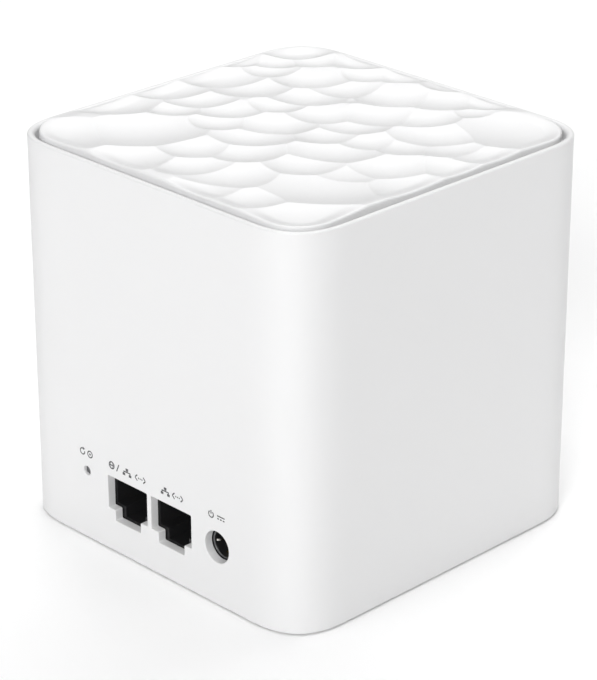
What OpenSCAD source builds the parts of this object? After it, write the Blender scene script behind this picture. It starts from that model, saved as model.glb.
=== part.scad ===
/* [Body] */
// Width and depth of the body across its flat sides
body_w = 89.4; // [88:0.1:92]
// Height of the sleeve's rim above the surface the feet stand on
rim_h = 90; // [88:0.5:96]
// Outer radius of the four upright corners
corner_r = 11.6; // [11:0.1:13]
// Thickness of the side walls
wall = 2; // [1.8:0.1:2.2]
// Width of the thin rim above the cap's ledge
rim_w = 1.7; // [1.6:0.1:1.8]
// Height by which the rubber feet stand proud of the sleeve
foot_proud = 0.4; // [0.3:0.1:0.8]

/* [Top cap] */
// Gap between the rim and the cap, all round
cap_gap = 0.9; // [0.8:0.1:1.1]
// Height of the highest ridges above the rim
ridge_proud = 1.3; // [1:0.1:1.6]
// Depth from the rim to the ledge that carries the cap
ledge_depth = 3; // [2.8:0.1:3.6]

/* [Ports] */
// Distance of the first network port from the middle of the rear face
port_1_x = -7.9; // [-8.4:0.1:-7.6]
// Spacing of the two network ports
port_pitch = 14; // [13.8:0.1:14.2]
// Height of the top edge of the network port cut-outs
port_top = 18.5; // [18.4:0.1:18.8]
// Distance of the power inlet from the middle of the rear face
inlet_x = 20.4; // [20:0.1:21]
// Height of the middle of the power inlet
inlet_z = 14.1; // [14:0.1:14.3]
// Diameter of the power inlet's hole in the wall
inlet_d = 7.3; // [7:0.1:7.6]
// Diameter of the power inlet's centre pin
inlet_pin_d = 2.1; // [2.1:0.4:2.5]
// Distance of the reset pinhole from the middle of the rear face
reset_x = -21.2; // [-22:0.1:-21]
// Height of the middle of the reset pinhole
reset_z = 17; // [16.8:0.1:17.2]
// Diameter of the reset pinhole
reset_d = 2.2; // [1.8:0.1:2.4]

/* [Hidden] */
$fn = 48;
eps = 0.01;
through = 1;

// Colours
white = [0.93, 0.93, 0.94];
black = [0.05, 0.05, 0.055];
metal = [0.75, 0.76, 0.78];
gold = [0.83, 0.68, 0.35];
board_green = [0.05, 0.28, 0.18];
base_white = [0.9, 0.9, 0.91];
rubber = [0.3, 0.3, 0.31];
paper = [0.82, 0.83, 0.84];
pad_blue = [0.55, 0.6, 0.68];
aluminium = [0.78, 0.79, 0.8];
ferrite = [0.28, 0.28, 0.3];
capacitor_grey = [0.7, 0.71, 0.74];
dark_grey = [0.2, 0.2, 0.21];
phosphor = [0.9, 0.9, 0.8];
clear = [0.85, 0.92, 0.95, 0.6];
frame_white = [0.88, 0.88, 0.86];
jacket = [0.12, 0.12, 0.13];

// Body
half = body_w / 2;
in_half = half - wall;
sleeve_bottom = foot_proud;
rim_outer_r = 0.5;
rim_inner_r = 1;
bottom_edge_r = 0.3;
edge_steps = 6;
ledge_top = rim_h - ledge_depth;
ledge_t = 1.6;
ledge_w = 5.2;
ledge_bottom = ledge_top - ledge_t;

// Screw posts in the sleeve's corners
post_xy = half - 9.7;
post_r = 3.5;
post_bottom = 4.6;
post_top = 26;
post_rib_t = 1.6;
post_bore_r = 1.1;
post_bore_depth = 12.4;
frame_bore_r = 0.85;
frame_bore_depth = 6;
frame_screw_depth = 5;

// Cap
cap_inset = rim_w + cap_gap;
cap_half = half - cap_inset;
cap_r = corner_r - cap_inset;
cap_top = rim_h + ridge_proud;
hook_x = 22;
hook_w = 8;
hook_drop = 2.8;
hook_t = 1.4;
hook_nose = 1;
hook_gap = 0.2;
hook_lead_in = 0.3;
hook_catch_gap = 0.05;
hook_nose_t = 0.2;

// Carved bowls of the cap: x, y, depth of the lowest point below the highest ridge, radius of the sphere
gouges = [
    [-36.7, 35.2, 1.6, 15], [-29.9, 33.5, 1.5, 15], [-21.9, 40.8, 1.5, 18], [-8.7, 40.5, 1.6, 18],
    [-13.9, 35.2, 1.5, 15], [-35.2, 27.2, 1.5, 14], [-42.2, 21.5, 1.5, 14], [-21.2, 24.2, 1.8, 21],
    [-32, 21.7, 1.5, 14], [-11, 24.2, 1.6, 21], [0.8, 29, 1.8, 24], [9.6, 34.7, 1.7, 24],
    [4.8, 44.2, 1.3, 18], [16.8, 41, 1.6, 19], [36, 31.8, 1.9, 54], [24, 16.7, 1.8, 26],
    [14, 22.4, 1.6, 19], [6.8, 17.5, 1.8, 24], [-35.7, 10.4, 1.9, 23], [-26, 10.6, 1.7, 23],
    [-12.8, 15.6, 1.7, 21], [-2.2, 9.4, 1.7, 19], [-13.4, 6.4, 1.4, 15], [7.3, 8.6, 1.5, 19],
    [16.4, 4.2, 1.5, 18], [23.8, 8, 1.5, 21], [30.7, 13.8, 1.6, 22], [39.8, 16.5, 1.6, 26],
    [-38.4, -3.8, 1.8, 21], [-28.2, -3.4, 1.5, 18], [-18.6, -3.4, 1.4, 18], [-27.3, -11, 1.3, 15],
    [-4.8, -2, 1.8, 22], [7.6, 0.8, 1.4, 21], [16.1, -5.5, 1.5, 29], [29.8, -4.8, 1.7, 26],
    [40.8, 6.2, 1.6, 24], [-14.2, -10, 1.4, 16], [-2.8, -11, 1.6, 21], [-39.2, -18.2, 1.7, 26],
    [-22.2, -26, 1.9, 39], [-6, -24.4, 1.5, 22], [2.9, -19, 1.5, 22], [17.4, -14.8, 1.6, 24],
    [11.1, -30.2, 1.7, 29], [1.3, -31.6, 1.5, 22], [-11.2, -37.8, 1.5, 26], [-31.7, -38.2, 1.7, 38],
    [12.8, -38.8, 1.5, 26], [22, -35.8, 1.6, 26], [28.4, -21.6, 1.8, 54], [36.8, -36.2, 1.9, 44],
    [38.8, -8.8, 1.7, 35], [26.8, -12.8, 1.5, 29], [-4.7, 20.2, 0.5, 13], [20.2, 32.2, 0.6, 15]
];
bowl_rise = 0.5;
bowl_facets = 96;

// Base
base_bottom = 0.9;
base_top = 3;
base_gap = 0.2;
base_boss_r = 4.2;
screw_seat_z = 3.2;
screw_clear_r = 1.3;
screw_recess_r = 2.5;
screw_head_gap = 0.2;
screw_fit = 0.05;
base_screw_len = 13;
foot_r = 5.5;
foot_top = 1.8;
foot_gap = 0.1;
foot_edge = 0.3;
vent_count = 9;
vent_pitch = 3.6;
vent_w = 1.8;
vent_len = 22;
vent_y = 8;
label_size = [38, 18, 0.2];
label_y = -18;
label_recess = 0.3;
label_gap = 0.2;

// Main board
pcb_bottom = 5.2;
pcb_top = 6.8;
pcb_half_x = 40.5;
pcb_front = 40.5;
pcb_rear = -41.8;
pcb_corner = 28.5;
pcb_screw_x = 36;
pcb_screw_y = 18;
standoff_r = 2.8;
standoff_bore_r = 0.85;
standoff_bore_bottom = 2.2;
pcb_screw_tip_gap = 0.2;
pcb_screw_hole_r = 1.1;
lead_bottom = 4.2;

// Network sockets
jack_gap = 0.3;
jack_face = -half + wall + jack_gap;
jack_d = 16;
jack_side = 1.1;
jack_top = 20.2;
jack_cavity_w = 11.8;
jack_cavity_d = 12.6;
jack_roof_drop = 0.3;
jack_roof = port_top - jack_roof_drop;
jack_sill = 11;
jack_key_w = 6.4;
jack_key_z = 8.5;
jack_peg_r = 1.6;
jack_peg_gap = 0.1;
jack_peg_y = jack_face + 8;
port_w = 12.7;
port_sill = 10.6;
port_key_w = 8.2;
port_key_z = 8.1;
port_2_x = port_1_x + port_pitch;
contact_pitch = 1.02;
contact_w = 0.45;
contacts = 8;
// Side view of one contact: depth behind the socket's face, drop below the cavity's roof
contact_side = [
    [12.6, 0.1], [1.7, 0.1], [1.4, 0.4], [1.4, 0.6], [10.8, 2.6],
    [10.9, 2.3], [1.9, 0.45], [1.9, 0.4], [12.6, 0.4]
];
pin_r = 0.25;
pin_hole_r = 0.4;
pin_row_1 = jack_face + 12.4;
pin_row_2 = jack_face + 14.9;

// Power inlet
inlet_w = 9;
inlet_d_y = 14;
inlet_rise = 3.8;
inlet_top = inlet_z + inlet_rise;
barrel_r = 3.2;
barrel_d = 10;
barrel_lip = 0.3;
inlet_pin_setback = 1.5;
inlet_tip = 0.5;
inlet_shank_r = 0.7;
shank_gap = 0.05;
tab_t = 0.5;
tab_w = 3;
tab_slot_gap = 0.15;
tab_1_rise = 1.5;
tab_3_drop = 4;
tab_2_y = jack_face + 6.6;
tab_3_y = jack_face + 10.9;
spring_w = 2;
// Side view of the spring contact: depth behind the inlet's face, distance below the barrel's axis
spring_side = [[10, 3], [4.4, 2.6], [1.4, 2.95], [1.4, 2.7], [4.4, 2.35], [10, 2.75]];

// Reset switch, and the wall thinned behind its pinhole
reset_skin = 0.8;
reset_bore_r = 2.2;
switch_w = 6;
switch_face = jack_face + 3;
switch_d = 3;
switch_back = switch_face + switch_d;
cover_t = 0.3;
cover_hole_r = 1.75;
cover_tab = 2.4;
cover_tab_t = 0.25;
well_r = 2.3;
well_d = 1.2;
plunger_r = 1.6;
plunger_flange_r = 2.1;
plunger_flange_t = 0.55;
plunger_len = 4.3;
plunger_edge = 0.3;
dome_r = 1.9;
dome_h = 0.3;
dome_t = 0.08;
dome_facets = 192;
riser_back_t = 1.5;
reset_lead_w = 0.6;
reset_lead_t = 0.4;
reset_lead_x = 2.25;

// Light
led_y = 37;
led_size = [2, 1.4, 0.8];
pipe_r = 1.2;
pipe_gap = 0.05;
pipe_bottom = 7.9;
pipe_bend_r = 2;
pipe_z = 12;
pipe_flange_r = 2.2;
pipe_flange_t = 1;

// Heat sink
sink_x = -2;
sink_y = 2;
sink_w = 40;
sink_d = 36;
sink_bottom = 9;
sink_base_t = 1.6;
fin_count = 9;
fin_pitch = 3.5;
fin_t = 1;
fin_h = 6.4;
sink_pin_dx = 17.5;
sink_pin_dy = 15.5;
sink_pin_r = 1.3;
sink_pin_head_r = 2.4;
sink_pin_head_h = 1.4;
sink_pin_gap = 0.2;
sink_pin_board_gap = 0.1;
sink_pin_tip_z = 3.9;
sink_pin_tip_r = 0.6;
sink_pin_barb = 0.6;

// Parts on the board: middle x and y, then width, depth and height
cpu = [-8, 6, 13, 13, 1.2];
ram = [8, 8, 9, 13, 1];
flash = [24, 2, 6, 5.2, 1.6];
switch_ic = [-2, -9, 9, 9, 0.9];
power_ic = [33, 0, 5, 4, 1.5];
crystal_can = [22, 10, 3.2, 2.5, 0.9];
inductor_a = [23, -12, 6, 6, 3];
inductor_b = [23, -20, 6, 6, 3];
core_groove_out = 2.6;
core_groove_in = 2.1;
core_groove_d = 0.3;
transformer = [0, -21.7, 12.6, 7, 5.6];
capacitor_x = 32;
capacitor_1_y = -10;
capacitor_2_y = -25;
capacitor_r = 3.15;
capacitor_h = 7;
capacitor_foot_h = 0.9;
capacitor_foot_w = 6.6;
can_x = 18;
can_y = 30;
can_size = [18, 15, 2.4];
can_t = 0.3;
radio_size = [7, 7, 0.85];

// Antennas
frame_foot_t = 2;
frame_foot_in = 29.5;
frame_foot_out = 38;
frame_out = 33.5;
frame_t = 2;
frame_leg = 4;
frame_top = 83;
frame_ring_h = 3;
frame_ring_z = 40;
panel_bottom = 62;
panel_top = 78;
antenna_t = 0.8;
antenna_half = 26;
antenna_bottom = 63;
antenna_top = 77;
stake_y = 20;
stake_z = 70;
stake_r = 1;
stake_gap = 0.05;
stake_head_r = 1.7;
stake_head_t = 0.6;
lead_r = 0.565;
lead_y = 12;
lead_gap = 0.6;
lead_x = frame_out + antenna_t + lead_gap;
lead_z = 8.45;
lead_top = 66;
lead_bend_r = 5;
plug_x = 27.4;
plug_r = 1.5;
plug_bottom = 7.8;
plug_top = 9.1;
plug_tail_w = 1.8;
socket_w = 3;
socket_base_t = 0.5;
socket_r = 0.9;

// Places one copy of its children at each of the four corners of a rectangle
module at_corners(x, y) {
    for (sx = [-1, 1], sy = [-1, 1]) translate([sx * x, sy * y, 0]) children();
}

// Rounded square, from exact circles and squares
module rounded_square(side, r) {
    square([side - 2 * r, side], center = true);
    square([side, side - 2 * r], center = true);
    at_corners(side / 2 - r, side / 2 - r) circle(r = r);
}

// Sweeps a wall section round a rounded square: x is measured outward from the corner's centre
module around_square(side, r) {
    for (turn = [0:90:270]) rotate([0, 0, turn]) {
        translate([side / 2 - r, 0, 0]) rotate([90, 0, 0])
            linear_extrude(height = side - 2 * r, center = true) children();
        translate([side / 2 - r, side / 2 - r, 0]) rotate_extrude(angle = 90, $fn = 96) children();
    }
}

// Block standing on the board: middle x, middle y, width, depth, height
module block(b, z = pcb_top) {
    translate([b[0] - b[2] / 2, b[1] - b[3] / 2, z]) cube([b[2], b[3], b[4]]);
}

// Rod along +Y from a face, centred on x and z
module rod_y(x, y, z, r, len) {
    translate([x, y, z]) rotate([-90, 0, 0]) cylinder(r = r, h = len);
}

// Strip given by its side view (y, z), extruded in x about the middle
module side_strip(x, w, points) {
    translate([x + w / 2, 0, 0]) rotate([90, 0, -90]) linear_extrude(height = w)
        polygon([for (p = points) [-p[0], p[1]]]);
}

// Points of a rounded edge, from one angle to another
function arc_points(x, y, r, from, to, steps) =
    [for (i = [0:steps]) let (a = from + (to - from) * i / steps) [x + r * cos(a), y + r * sin(a)]];

// Section of the sleeve's wall, with its rounded rim and the ledge for the cap
module wall_section() {
    out = corner_r;
    rim_in = out - rim_w;
    polygon(concat(
        [[out - wall, sleeve_bottom]],
        arc_points(out - bottom_edge_r, sleeve_bottom + bottom_edge_r, bottom_edge_r, -90, 0, edge_steps),
        arc_points(out - rim_outer_r, rim_h - rim_outer_r, rim_outer_r, 0, 90, edge_steps),
        arc_points(rim_in + rim_inner_r, rim_h - rim_inner_r, rim_inner_r, 90, 180, edge_steps),
        [[rim_in, ledge_top], [out - ledge_w, ledge_top]],
        [[out - ledge_w, ledge_bottom], [out - wall, ledge_bottom]]
    ));
}

// Screw post in a corner, with the rib that ties it to the wall
module corner_post() {
    reach = (half - corner_r - post_xy) * sqrt(2) + corner_r - wall / 2;
    translate([0, 0, post_bottom]) linear_extrude(height = post_top - post_bottom) {
        circle(r = post_r);
        rotate(45) translate([0, -post_rib_t / 2]) square([reach, post_rib_t]);
    }
}

module port_cut(x) {
    translate([x - port_w / 2, -half - through, port_sill])
        cube([port_w, wall + 2 * through, port_top - port_sill]);
    translate([x - port_key_w / 2, -half - through, port_key_z])
        cube([port_key_w, wall + 2 * through, port_sill - port_key_z + eps]);
}

module housing_sleeve() {
    color(white) difference() {
        union() {
            around_square(body_w, corner_r) wall_section();
            for (turn = [0:90:270]) rotate([0, 0, turn]) translate([post_xy, post_xy, 0]) corner_post();
        }
        at_corners(post_xy, post_xy) {
            translate([0, 0, post_bottom - through])
                cylinder(r = post_bore_r, h = post_bore_depth + through);
            translate([0, 0, post_top - frame_bore_depth])
                cylinder(r = frame_bore_r, h = frame_bore_depth + through);
        }
        port_cut(port_1_x);
        port_cut(port_2_x);
        rod_y(inlet_x, -half - through, inlet_z, inlet_d / 2, wall + 2 * through);
        rod_y(reset_x, -half - through, reset_z, reset_d / 2, wall + 2 * through);
        rod_y(reset_x, -half + reset_skin, reset_z, reset_bore_r, wall + through);
        rod_y(0, in_half - through, pipe_z, pipe_r + pipe_gap, wall + 2 * through);
    }
}

// Snap hook that grips under the ledge, pointing outward along +X
module snap_hook() {
    face = half - ledge_w - hook_gap;
    low = ledge_top - hook_drop;
    catch_z = ledge_bottom - hook_catch_gap;
    translate([0, hook_w / 2, 0]) rotate([90, 0, 0]) linear_extrude(height = hook_w) polygon([
        [face - hook_t, ledge_top + eps], [face - hook_t, low], [face - hook_lead_in, low],
        [face + hook_nose, catch_z - hook_nose_t], [face + hook_nose, catch_z],
        [face, catch_z], [face, ledge_top + eps]
    ]);
}

// Lowest part of a ball of radius r, cut off flat at a height above its lowest point
module bowl(r, height) {
    rotate_extrude($fn = bowl_facets) intersection() {
        translate([0, r]) circle(r = r, $fn = 4 * bowl_facets);
        square([r, height]);
    }
}

module top_cap() {
    color(white) {
        difference() {
            translate([0, 0, ledge_top]) linear_extrude(height = cap_top - ledge_top)
                rounded_square(2 * cap_half, cap_r, $fn = 96);
            for (g = gouges) translate([g[0], g[1], cap_top - g[2]]) bowl(g[3], g[2] + bowl_rise);
        }
        for (turn = [0:90:270], y = [-hook_x, hook_x]) rotate([0, 0, turn])
            translate([0, y, 0]) snap_hook();
    }
}

module base_cover() {
    plate = body_w - 2 * wall - 2 * base_gap;
    color(base_white) difference() {
        union() {
            translate([0, 0, base_bottom]) linear_extrude(height = base_top - base_bottom)
                rounded_square(plate, corner_r - wall - base_gap, $fn = 96);
            at_corners(post_xy, post_xy) translate([0, 0, base_bottom])
                cylinder(r = base_boss_r, h = post_bottom - base_bottom);
            at_corners(pcb_screw_x, pcb_screw_y) translate([0, 0, base_bottom])
                cylinder(r = standoff_r, h = pcb_bottom - base_bottom);
        }
        at_corners(post_xy, post_xy) {
            translate([0, 0, base_bottom - through])
                cylinder(r = foot_r + foot_gap, h = foot_top - base_bottom + through);
            translate([0, 0, base_bottom]) cylinder(r = screw_recess_r, h = screw_seat_z - base_bottom);
            translate([0, 0, base_bottom]) cylinder(r = screw_clear_r, h = post_bottom);
        }
        at_corners(pcb_screw_x, pcb_screw_y) translate([0, 0, standoff_bore_bottom])
            cylinder(r = standoff_bore_r, h = pcb_bottom);
        for (i = [0:vent_count - 1])
            translate([(i - (vent_count - 1) / 2) * vent_pitch - vent_w / 2, vent_y - vent_len / 2, 0])
                cube([vent_w, vent_len, base_top + through]);
        translate([-label_size[0] / 2, label_y - label_size[1] / 2, base_bottom - through])
            cube([label_size[0], label_size[1], label_recess + through]);
    }
}

module foot(sx, sy) {
    color(rubber) translate([sx * post_xy, sy * post_xy, 0]) {
        cylinder(r1 = foot_r - foot_edge, r2 = foot_r, h = foot_edge);
        translate([0, 0, foot_edge]) cylinder(r = foot_r, h = foot_top - foot_edge);
    }
}

module base_screws() {
    head_h = screw_seat_z - foot_top;
    slot = [2.6, 0.5, 0.8];
    color(metal) at_corners(post_xy, post_xy) difference() {
        union() {
            translate([0, 0, foot_top]) cylinder(r = screw_recess_r - screw_head_gap, h = head_h);
            translate([0, 0, foot_top]) cylinder(r = post_bore_r - screw_fit, h = base_screw_len);
        }
        for (turn = [0, 90]) translate([0, 0, foot_top]) rotate([0, 0, turn])
            translate([-slot[0] / 2, -slot[1] / 2, -through]) cube(slot + [0, 0, through]);
    }
}

module rating_label() {
    w = label_size[0] - 2 * label_gap;
    d = label_size[1] - 2 * label_gap;
    z = base_bottom + label_recess - label_size[2];
    color(paper) translate([-w / 2, label_y - d / 2, z]) cube([w, d, label_size[2]]);
}

module main_pcb() {
    t = pcb_top - pcb_bottom;
    color(board_green) difference() {
        translate([0, 0, pcb_bottom]) linear_extrude(height = t) {
            translate([-pcb_half_x, -pcb_corner]) square([2 * pcb_half_x, 2 * pcb_corner]);
            translate([-pcb_corner, pcb_rear]) square([2 * pcb_corner, pcb_front - pcb_rear]);
        }
        translate([0, 0, pcb_bottom - through]) {
            at_corners(pcb_screw_x, pcb_screw_y) cylinder(r = pcb_screw_hole_r, h = t + 2 * through);
            for (x = [port_1_x, port_2_x]) pin_pattern(x) cylinder(r = pin_hole_r, h = t + 2 * through);
            for (x = [port_1_x, port_2_x]) translate([x, jack_peg_y, 0])
                cylinder(r = jack_peg_r + jack_peg_gap, h = t + 2 * through);
            for (s = [-1, 1]) translate([sink_x + s * sink_pin_dx, sink_y - s * sink_pin_dy, 0])
                cylinder(r = sink_pin_r + sink_pin_board_gap, h = t + 2 * through);
        }
        inlet_tabs(tab_slot_gap);
        reset_leads_shape(tab_slot_gap);
    }
}

// Places its children at the eight solder pins of one port, in two staggered rows
module pin_pattern(x) {
    for (i = [0:contacts - 1])
        translate([x + (i - (contacts - 1) / 2) * contact_pitch, i % 2 == 0 ? pin_row_1 : pin_row_2, 0])
            children();
}

module small_screw(head_z, tip_z) {
    head_r = 1.9;
    head_h = 1.3;
    slot = [2.2, 0.4, 0.6];
    difference() {
        union() {
            translate([0, 0, head_z]) cylinder(r = head_r, h = head_h);
            translate([0, 0, tip_z]) cylinder(r = standoff_bore_r - screw_fit, h = head_z - tip_z + eps);
        }
        for (turn = [0, 90]) translate([0, 0, head_z + head_h]) rotate([0, 0, turn])
            translate([-slot[0] / 2, -slot[1] / 2, -slot[2]]) cube(slot + [0, 0, through]);
    }
}

module pcb_screws() {
    color(metal) at_corners(pcb_screw_x, pcb_screw_y)
        small_screw(pcb_top, standoff_bore_bottom + pcb_screw_tip_gap);
}

module frame_screws() {
    color(metal) at_corners(post_xy, post_xy)
        small_screw(post_top + frame_foot_t, post_top - frame_screw_depth);
}

module cpu_chip() { color(black) block(cpu); }
module ram_chip() { color(black) block(ram); }
module flash_chip() { color(black) block(flash); }
module switch_chip() { color(black) block(switch_ic); }
module power_chip() { color(black) block(power_ic); }
module crystal() { color(metal) block(crystal_can); }

// Soft pad between a chip and the heat sink
module thermal_pad(chip) {
    z = pcb_top + chip[4];
    color(pad_blue) block([chip[0], chip[1], chip[2] - 1, chip[3] - 1, sink_bottom - z], z);
}

module cpu_pad() { thermal_pad(cpu); }
module ram_pad() { thermal_pad(ram); }

module heat_sink() {
    color(aluminium) difference() {
        union() {
            block([sink_x, sink_y, sink_w, sink_d, sink_base_t], sink_bottom);
            for (i = [0:fin_count - 1]) {
                fin_x = sink_x + (i - (fin_count - 1) / 2) * fin_pitch;
                block([fin_x, sink_y, fin_t, sink_d, sink_base_t + fin_h], sink_bottom);
            }
        }
        for (s = [-1, 1])
            translate([sink_x + s * sink_pin_dx, sink_y - s * sink_pin_dy, sink_bottom - through])
                cylinder(r = sink_pin_r + sink_pin_gap, h = sink_base_t + 2 * through);
    }
}

module heat_sink_pins() {
    seat = sink_bottom + sink_base_t;
    barb_z = pcb_bottom - sink_pin_barb;
    color(white) for (s = [-1, 1])
        translate([sink_x + s * sink_pin_dx, sink_y - s * sink_pin_dy, 0]) {
            translate([0, 0, seat]) cylinder(r = sink_pin_head_r, h = sink_pin_head_h);
            translate([0, 0, barb_z]) cylinder(r = sink_pin_r, h = seat - barb_z + eps);
            translate([0, 0, sink_pin_tip_z])
                cylinder(r1 = sink_pin_tip_r, r2 = sink_pin_r, h = barb_z - sink_pin_tip_z);
        }
}

// Pressed tin can over a radio, open below
module shield_can(side) {
    inner = can_size - [2 * can_t, 2 * can_t, can_t];
    color(metal) difference() {
        block([side * can_x, can_y, can_size[0], can_size[1], can_size[2]]);
        block([side * can_x, can_y, inner[0], inner[1], inner[2] + through], pcb_top - through);
    }
}

module radio_chip(side) {
    color(black) block([side * can_x, can_y, radio_size[0], radio_size[1], radio_size[2]]);
}

module transformer_block(x) {
    color(black) block([x, transformer[1], transformer[2], transformer[3], transformer[4]]);
}

module inductor(b) {
    color(ferrite) difference() {
        block(b);
        translate([b[0], b[1], pcb_top + b[4] - core_groove_d]) difference() {
            cylinder(r = core_groove_out, h = through);
            cylinder(r = core_groove_in, h = through);
        }
    }
}

module capacitor(y) {
    color(capacitor_grey) {
        block([capacitor_x, y, capacitor_foot_w, capacitor_foot_w, capacitor_foot_h]);
        translate([capacitor_x, y, pcb_top]) cylinder(r = capacitor_r, h = capacitor_h);
    }
}

module rj45_housing() {
    left = port_1_x - port_pitch / 2 - jack_side;
    w = 2 * port_pitch + 2 * jack_side;
    color(black) {
        difference() {
            translate([left, jack_face, pcb_top]) cube([w, jack_d, jack_top - pcb_top]);
            for (x = [port_1_x, port_2_x]) {
                translate([x - jack_cavity_w / 2, jack_face - through, jack_sill])
                    cube([jack_cavity_w, jack_cavity_d + through, jack_roof - jack_sill]);
                translate([x - jack_key_w / 2, jack_face - through, jack_key_z])
                    cube([jack_key_w, jack_cavity_d + through, jack_sill - jack_key_z + eps]);
            }
        }
        for (x = [port_1_x, port_2_x]) translate([x, jack_peg_y, lead_bottom])
            cylinder(r = jack_peg_r, h = pcb_top - lead_bottom + eps);
    }
}

// Eight sprung contacts and eight solder pins of one port
module port_contacts(x) {
    color(gold) {
        for (i = [0:contacts - 1])
            side_strip(x + (i - (contacts - 1) / 2) * contact_pitch, contact_w,
                [for (p = contact_side) [jack_face + p[0], jack_roof - p[1]]]);
        pin_pattern(x) translate([0, 0, lead_bottom]) cylinder(r = pin_r, h = pcb_top - lead_bottom);
    }
}

module dc_jack_housing() {
    color(black) difference() {
        translate([inlet_x - inlet_w / 2, jack_face, pcb_top])
            cube([inlet_w, inlet_d_y, inlet_top - pcb_top]);
        rod_y(inlet_x, jack_face - through, inlet_z, barrel_r, barrel_d + through);
        translate([inlet_x, jack_face, inlet_z]) rotate([-90, 0, 0])
            cylinder(r1 = barrel_r + barrel_lip, r2 = barrel_r, h = barrel_lip);
        rod_y(inlet_x, jack_face + barrel_d - through, inlet_z, inlet_shank_r + shank_gap,
            inlet_d_y - barrel_d + 2 * through);
    }
}

module dc_pin() {
    r = inlet_pin_d / 2;
    front = jack_face + inlet_pin_setback;
    color(metal) {
        translate([inlet_x, front - inlet_tip, inlet_z]) rotate([-90, 0, 0])
            cylinder(r1 = r / 2, r2 = r, h = inlet_tip);
        rod_y(inlet_x, front, inlet_z, r, barrel_d - inlet_pin_setback);
        rod_y(inlet_x, jack_face + barrel_d - eps, inlet_z, inlet_shank_r, inlet_d_y - barrel_d + eps);
    }
}

module dc_spring_contact() {
    color(gold) side_strip(inlet_x, spring_w, [for (p = spring_side) [jack_face + p[0], inlet_z - p[1]]]);
}

// Solder tabs of the power inlet, grown by a gap where they pass through the board
module inlet_tabs(gap) {
    g = [gap, gap, 0];
    translate([inlet_x - tab_w / 2, jack_face + inlet_d_y, lead_bottom] - g)
        cube([tab_w, tab_t, inlet_z + tab_1_rise - lead_bottom] + 2 * g);
    translate([inlet_x - tab_w / 2, tab_2_y, lead_bottom] - g)
        cube([tab_w, tab_t, pcb_top - lead_bottom] + 2 * g);
    translate([inlet_x + inlet_w / 2, tab_3_y, lead_bottom] - g)
        cube([tab_t, tab_w, inlet_z - tab_3_drop - lead_bottom] + 2 * g);
}

module dc_tabs() { color(metal) inlet_tabs(0); }

module reset_riser() {
    w = switch_w;
    color(black) {
        translate([reset_x - w / 2, switch_face, pcb_top])
            cube([w, switch_d + riser_back_t, reset_z - w / 2 - pcb_top]);
        translate([reset_x - w / 2, switch_back, pcb_top])
            cube([w, riser_back_t, reset_z + w / 2 - pcb_top]);
    }
}

module reset_leads_shape(gap) {
    w = reset_lead_w + 2 * gap;
    for (s = [-1, 1])
        translate([reset_x + s * reset_lead_x - w / 2, switch_back + riser_back_t - gap, lead_bottom])
            cube([w, reset_lead_t + 2 * gap, reset_z - lead_bottom]);
}

module reset_leads() { color(metal) reset_leads_shape(0); }

module reset_switch_base() {
    w = switch_w;
    color(black) difference() {
        translate([reset_x - w / 2, switch_face, reset_z - w / 2]) cube([w, switch_d, w]);
        rod_y(reset_x, switch_face - through, reset_z, well_r, well_d + through);
    }
}

module reset_switch_cover() {
    w = switch_w;
    color(metal) {
        difference() {
            translate([reset_x - w / 2, switch_face - cover_t, reset_z - w / 2]) cube([w, cover_t, w]);
            rod_y(reset_x, switch_face - cover_t - through, reset_z, cover_hole_r, cover_t + 2 * through);
        }
        for (x = [reset_x - w / 2 - cover_tab_t, reset_x + w / 2])
            translate([x, switch_face - cover_t, reset_z - w / 4])
                cube([cover_tab_t, cover_tab + cover_t, w / 2]);
    }
}

// Thin sprung dome at the bottom of the switch's well
module reset_dome() {
    ball = (dome_r * dome_r + dome_h * dome_h) / (2 * dome_h);
    floor_y = switch_face + well_d;
    color(metal) translate([reset_x, floor_y, reset_z]) rotate([90, 0, 0])
        rotate_extrude() intersection() {
            translate([0, dome_h - ball]) difference() {
                circle(r = ball, $fn = dome_facets);
                circle(r = ball - dome_t, $fn = dome_facets);
            }
            square([2 * dome_r, dome_h]);
        }
}

module reset_plunger() {
    color(dark_grey) {
        rod_y(reset_x, switch_face, reset_z, plunger_flange_r, plunger_flange_t);
        rod_y(reset_x, switch_face - plunger_len + plunger_edge, reset_z, plunger_r,
            plunger_len - plunger_edge + eps);
        translate([reset_x, switch_face - plunger_len, reset_z]) rotate([-90, 0, 0])
            cylinder(r1 = plunger_r - plunger_edge, r2 = plunger_r, h = plunger_edge);
    }
}

module status_led() {
    color(phosphor) block([0, led_y, led_size[0], led_size[1], led_size[2]]);
}

// Clear pipe from the light on the board to a small window in the front face
module light_pipe() {
    bend_z = pipe_z - pipe_bend_r;
    bend_y = led_y + pipe_bend_r;
    color(clear) {
        translate([0, led_y, pipe_bottom]) cylinder(r = pipe_r, h = bend_z - pipe_bottom);
        translate([0, bend_y, bend_z]) rotate([90, 0, 90]) rotate([0, 0, 90])
            rotate_extrude(angle = 90) translate([pipe_bend_r, 0]) circle(r = pipe_r);
        rod_y(0, bend_y, pipe_z, pipe_r, half - bend_y);
        rod_y(0, in_half - pipe_flange_t, pipe_z, pipe_flange_r, pipe_flange_t);
    }
}

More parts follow.
